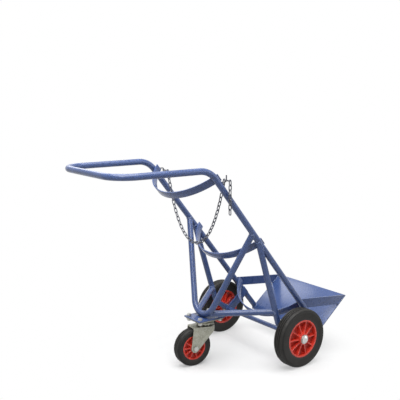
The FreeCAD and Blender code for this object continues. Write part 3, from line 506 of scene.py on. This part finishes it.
def dress_wheels():
    """Rubber tyres and red centres."""
    tyres = [(name, f"{name}_rubber", 0.0, WHEEL_RIM_RADIUS) for name in both_sides("tyre")]
    tyres.append(("castor_tyre", "castor_rubber", CASTOR_YAW, CASTOR_RIM_RADIUS))
    for name, rubber, turn, rim_radius in tyres:
        low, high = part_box(name)
        outer_radius = (high[2] - low[2]) / 2
        paint(tyre_rubber(rubber, (low + high) / 2, turn, rim_radius, outer_radius), name)
    centres = [*both_sides("wheel_centre"), "castor_wheel_centre"]
    paint(red_plastic(), *centres, edge_width=MOULDED_EDGE)


def dress_fittings():
    """Bare and plated metal, and the castor's bush."""
    bright = plated("bright_steel", rgb(0.34, 0.34, 0.32), rgb(0.50, 0.50, 0.475), 0.28, 0.44, 260.0, 0.9)
    plate_fixings = ["castor_plate_bolts", "castor_plate_nuts", "castor_plate_washers"]
    paint(bright, *plate_fixings, "castor_wheel_bolt", "castor_wheel_nut", edge_width=FIXING_EDGE)
    paint(bright, "castor_balls", "castor_axle_sleeve")
    pairs = ["axle_spacer", "axle_washer", "bearing_rollers", "inner_bearing_ring", "outer_bearing_ring"]
    for name in pairs:
        paint(bright, *both_sides(name))
    cap = plated("bright_cap", rgb(0.42, 0.42, 0.41), rgb(0.58, 0.58, 0.57), 0.14, 0.26, 200.0, 0.95)
    paint(cap, *both_sides("wheel_cap"))
    zinc = plated("zinc_plate", rgb(0.23, 0.23, 0.185), rgb(0.36, 0.36, 0.305), 0.34, 0.50, 150.0, 0.7)
    castor = ["castor_top_plate", "castor_race", "castor_king_pin", "castor_fork"]
    paint(zinc, *castor, edge_width=MOULDED_EDGE)
    paint(bush_plastic(), "castor_bush")


def dress_chain():
    """The hook, the staple and round-wire links."""
    chain = plated("chain_zinc", rgb(0.060, 0.064, 0.080), rgb(0.125, 0.130, 0.150), 0.30, 0.46, 300.0, 0.8)
    paint(chain, "chain_hook", "chain_anchor_staple")
    round_links("chain_end_links", "frame", chain)
    round_links("chain_span_links", "chain_span", chain)
    round_links("chain_tail_links", "chain_tail", chain)


def resampled(points, step, closed):
    """Even steps along a run of points."""
    run = list(points) + [points[0]] if closed else list(points)
    lengths = [0.0]
    for first, second in zip(run, run[1:]):
        lengths.append(lengths[-1] + (second - first).length)
    count = max(4, round(lengths[-1] / step))
    result = []
    place = 0
    for index in range(count if closed else count + 1):
        target = lengths[-1] * index / count
        while place < len(run) - 2 and lengths[place + 1] < target:
            place += 1
        share = (target - lengths[place]) / max(lengths[place + 1] - lengths[place], 1e-9)
        result.append(run[place].lerp(run[place + 1], min(share, 1.0)))
    return result


def rounded_loop(path):
    """Ease the corners of a closed path."""
    for _ in range(BEAD_SMOOTHING):
        neighbours = zip(path[-1:] + path[:-1], path, path[1:] + path[:1])
        path = [(before + point * 2.0 + after) / 4.0 for before, point, after in neighbours]
    return path


def bead(name, points, radius, closed):
    """A weld bead: a rippled rope of metal along a seam, tapering at open ends."""
    path = resampled(points, BEAD_STEP, closed)
    if closed:
        path = rounded_loop(path)
    count = len(path)
    mesh = bmesh.new()
    rings = []
    for index, point in enumerate(path):
        before = path[index - 1] if closed or index else point
        after = path[(index + 1) % count] if closed or index + 1 < count else point
        heading = (after - before).normalized()
        side = heading.orthogonal().normalized()
        swell = 1.0 - RIPPLE_DEPTH * (index % RIPPLE_STEPS) / (RIPPLE_STEPS - 1)
        if not closed:
            swell *= min(1.0, TAPER_START + TAPER_STEP * min(index, count - 1 - index))
        rings.append(add_ring(mesh, point, side, heading.cross(side), radius * swell, BEAD_SIDES))
    join_rings(mesh, rings, closed)
    new_piece(name, mesh, WELD, "frame")


def seam(node, other, middle, heading):
    """The outer line where the end of a tube meets another piece, found round the tube's own axis."""
    tree = BVHTree.FromPolygons(
        [vertex.co.copy() for vertex in NODES[other].data.vertices],
        [tuple(face.vertices) for face in NODES[other].data.polygons],
    )
    heading = heading.normalized()
    side = heading.orthogonal().normalized()
    across = heading.cross(side)
    outermost = {}
    for vertex in NODES[node].data.vertices:
        arm = vertex.co - middle
        if arm.length > SEAM_REACH or tree.find_nearest(vertex.co)[3] > SEAM_GAP:
            continue
        flat = Vector((arm.dot(side), arm.dot(across)))
        sector = int((math.atan2(flat.y, flat.x) + math.pi) / (2.0 * math.pi) * SEAM_SECTORS)
        if sector not in outermost or flat.length > outermost[sector][0]:
            outermost[sector] = (flat.length, vertex.co.copy())
    return [outermost[sector][1] for sector in sorted(outermost)]


def tube_welds():
    """Beads round the coped ends of the struts, stays and yoke."""
    for side_name, sign in SIDES:
        side = sign * HALF_SPACING
        strut = f"{side_name}_strut"
        stay = f"{side_name}_base_stay"
        top = rail_point(STRUT_TOP_ALONG, 0.0, side)
        foot = Vector((AXLE_X, side, AXLE_Z))
        knee = foot + STRUT_KNEE_ARM
        yoke_top = rail_point(YOKE_TOP_ALONG, 0.0, side)
        yoke_foot = Vector((AXLE_X + YOKE_FOOT_ARM, sign * YOKE_FOOT_HALF_WIDTH, YOKE_FOOT_Z))
        stay_top = top.lerp(knee, (top.z - STAY_TOP_Z) / (top.z - knee.z))
        stay_foot = Vector((CASTOR_X + STAY_FOOT_ARM, sign * STAY_FOOT_HALF_WIDTH, STAY_FOOT_Z))
        joints = [
            ("strut_top", strut, "main_frame_tube", top, top - knee),
            ("strut_foot", strut, "axle", foot, foot - knee),
            ("yoke_top", "castor_yoke_tube", "main_frame_tube", yoke_top, yoke_top - yoke_foot),
            ("stay_top", stay, strut, stay_top, stay_top - stay_foot),
            ("stay_foot", stay, "castor_yoke_tube", stay_foot, stay_top - stay_foot),
        ]
        for label, node, other, middle, heading in joints:
            points = seam(node, other, middle, heading)
            bead(f"weld_{side_name}_{label}", points, TUBE_BEAD_RADIUS, True)


def bar_welds():
    """Beads where the flat bars meet the rails, and where the rails and guards meet the toe plate."""
    for side_name, sign in SIDES:
        side = sign * HALF_SPACING
        for label, along in BANDS_ALONG:
            for end, ahead, inset in BAND_SEAMS:
                ends = (along - BAND_HALF_SEAM, along + BAND_HALF_SEAM)
                line = [rail_point(place, ahead, side - sign * inset) for place in ends]
                bead(f"weld_{side_name}_{label}_band_{end}", line, BAR_BEAD_RADIUS, False)
        turns = [2.0 * math.pi * step / RAIL_FOOT_STEPS for step in range(RAIL_FOOT_STEPS)]
        circle = [
            rail_point(RAIL_FOOT_ALONG, TUBE_RADIUS * math.cos(turn), side + TUBE_RADIUS * math.sin(turn))
            for turn in turns
        ]
        bead(f"weld_{side_name}_rail_foot", circle, FOOT_BEAD_RADIUS, True)
        for face in (-1, 1):
            edge = side + face * GUARD_HALF_THICKNESS
            toe = [rail_point(GUARD_TOE_ALONG, ahead, edge) for ahead in GUARD_TOE_AHEAD]
            bead(f"weld_{side_name}_guard_toe_{face + 1}", toe, BAR_BEAD_RADIUS, False)
            back = [rail_point(along, GUARD_RAIL_AHEAD, edge) for along in GUARD_RAIL_ALONG]
            bead(f"weld_{side_name}_guard_rail_{face + 1}", back, BAR_BEAD_RADIUS, False)


def world_light():
    """Studio light, stronger overhead than at the sides, and white where it is seen or mirrored."""
    world = bpy.data.worlds.new("studio")
    bpy.context.scene.world = world
    world.use_nodes = True
    sky = NodeTree(world.node_tree, "ShaderNodeOutputWorld")
    direction = sky.add("ShaderNodeTexCoord").outputs["Generated"]
    height = sky.add("ShaderNodeSeparateXYZ", {"Vector": direction}).outputs["Z"]
    strength = sky.ramp(height, 0.1, 0.9, 0.09, 0.40)
    soft = sky.add("ShaderNodeBackground", {"Color": rgb(0.97, 0.98, 1.0), "Strength": strength})
    white = sky.add("ShaderNodeBackground", {"Color": rgb(1.0, 1.0, 1.0), "Strength": 1.0})
    mix = sky.add("ShaderNodeMixShader", {0: sky.seen(), 1: soft.outputs[0], 2: white.outputs[0]})
    sky.close(mix.outputs[0])


def floor():
    """A plain pale floor that keeps the shadow under the frame and turns white further out."""
    pale = Material("studio_floor")
    from_centre = {0: pale.coords, 1: FLOOR_CENTRE}
    arm = pale.add("ShaderNodeVectorMath", from_centre, operation="SUBTRACT").outputs["Vector"]
    distance = pale.add("ShaderNodeVectorMath", {0: arm}, operation="LENGTH").outputs["Value"]
    fade = pale.ramp(distance, 0.20, 0.62, 0.30, 1.0)
    seen = pale.seen()
    mottle = pale.ramp(pale.noise(pale.coords, 3.0), 0.3, 0.7, 0.40, 0.44)
    tone = pale.compute("MULTIPLY", mottle, pale.ramp(seen, 0.0, 1.0, 1.0, 1.3))
    tint = pale.add("ShaderNodeCombineColor", {"Red": tone, "Green": tone, "Blue": tone})
    matt = pale.add("ShaderNodeBsdfDiffuse", {"Color": tint.outputs["Color"]})
    glow = pale.add("ShaderNodeEmission", {"Color": rgb(1.0, 1.0, 1.0), "Strength": 1.0})
    factor = pale.compute("MULTIPLY", fade, seen)
    mix = pale.add("ShaderNodeMixShader", {0: factor, 1: matt.outputs[0], 2: glow.outputs[0]})
    pale.close(mix.outputs[0])
    mesh = bmesh.new()
    bmesh.ops.create_grid(mesh, x_segments=8, y_segments=8, size=FLOOR_HALF_SIZE)
    data = bpy.data.meshes.new("studio_floor")
    mesh.to_mesh(data)
    mesh.free()
    data.materials.append(pale.material)
    link_item("studio_floor", data)


def lights():
    """Large soft lamps."""
    for name, place, target, size, power in LAMPS:
        data = bpy.data.lights.new(name, "AREA")
        data.shape = "DISK"
        data.size = size
        data.energy = power
        item = link_item(name, data)
        item.location = place
        item.rotation_euler = (Vector(target) - Vector(place)).to_track_quat("-Z", "Y").to_euler()


def camera():
    """The view that was fitted to the rails, wheels and handle."""
    right = Vector((math.cos(CAMERA_YAW), math.sin(CAMERA_YAW), 0.0))
    level = math.cos(CAMERA_PITCH)
    back = Vector((math.sin(CAMERA_YAW) * level, -math.cos(CAMERA_YAW) * level, math.sin(CAMERA_PITCH)))
    up = back.cross(right)
    data = bpy.data.cameras.new("camera")
    data.sensor_width = SENSOR_WIDTH
    data.lens = CAMERA_LENS
    item = link_item("camera", data)
    turn = Matrix((right, up, back)).transposed()
    item.matrix_world = Matrix.Translation(CAMERA_PLACE) @ turn.to_4x4()
    bpy.context.scene.camera = item


SMOOTH = smooth_group()
WELD = weld_enamel_painted_highlight()

dress_frame()
dress_wheels()
dress_fittings()
dress_chain()
tube_welds()
bar_welds()
world_light()
floor()
lights()
camera()
bpy.context.scene.view_settings.view_transform = "Standard"
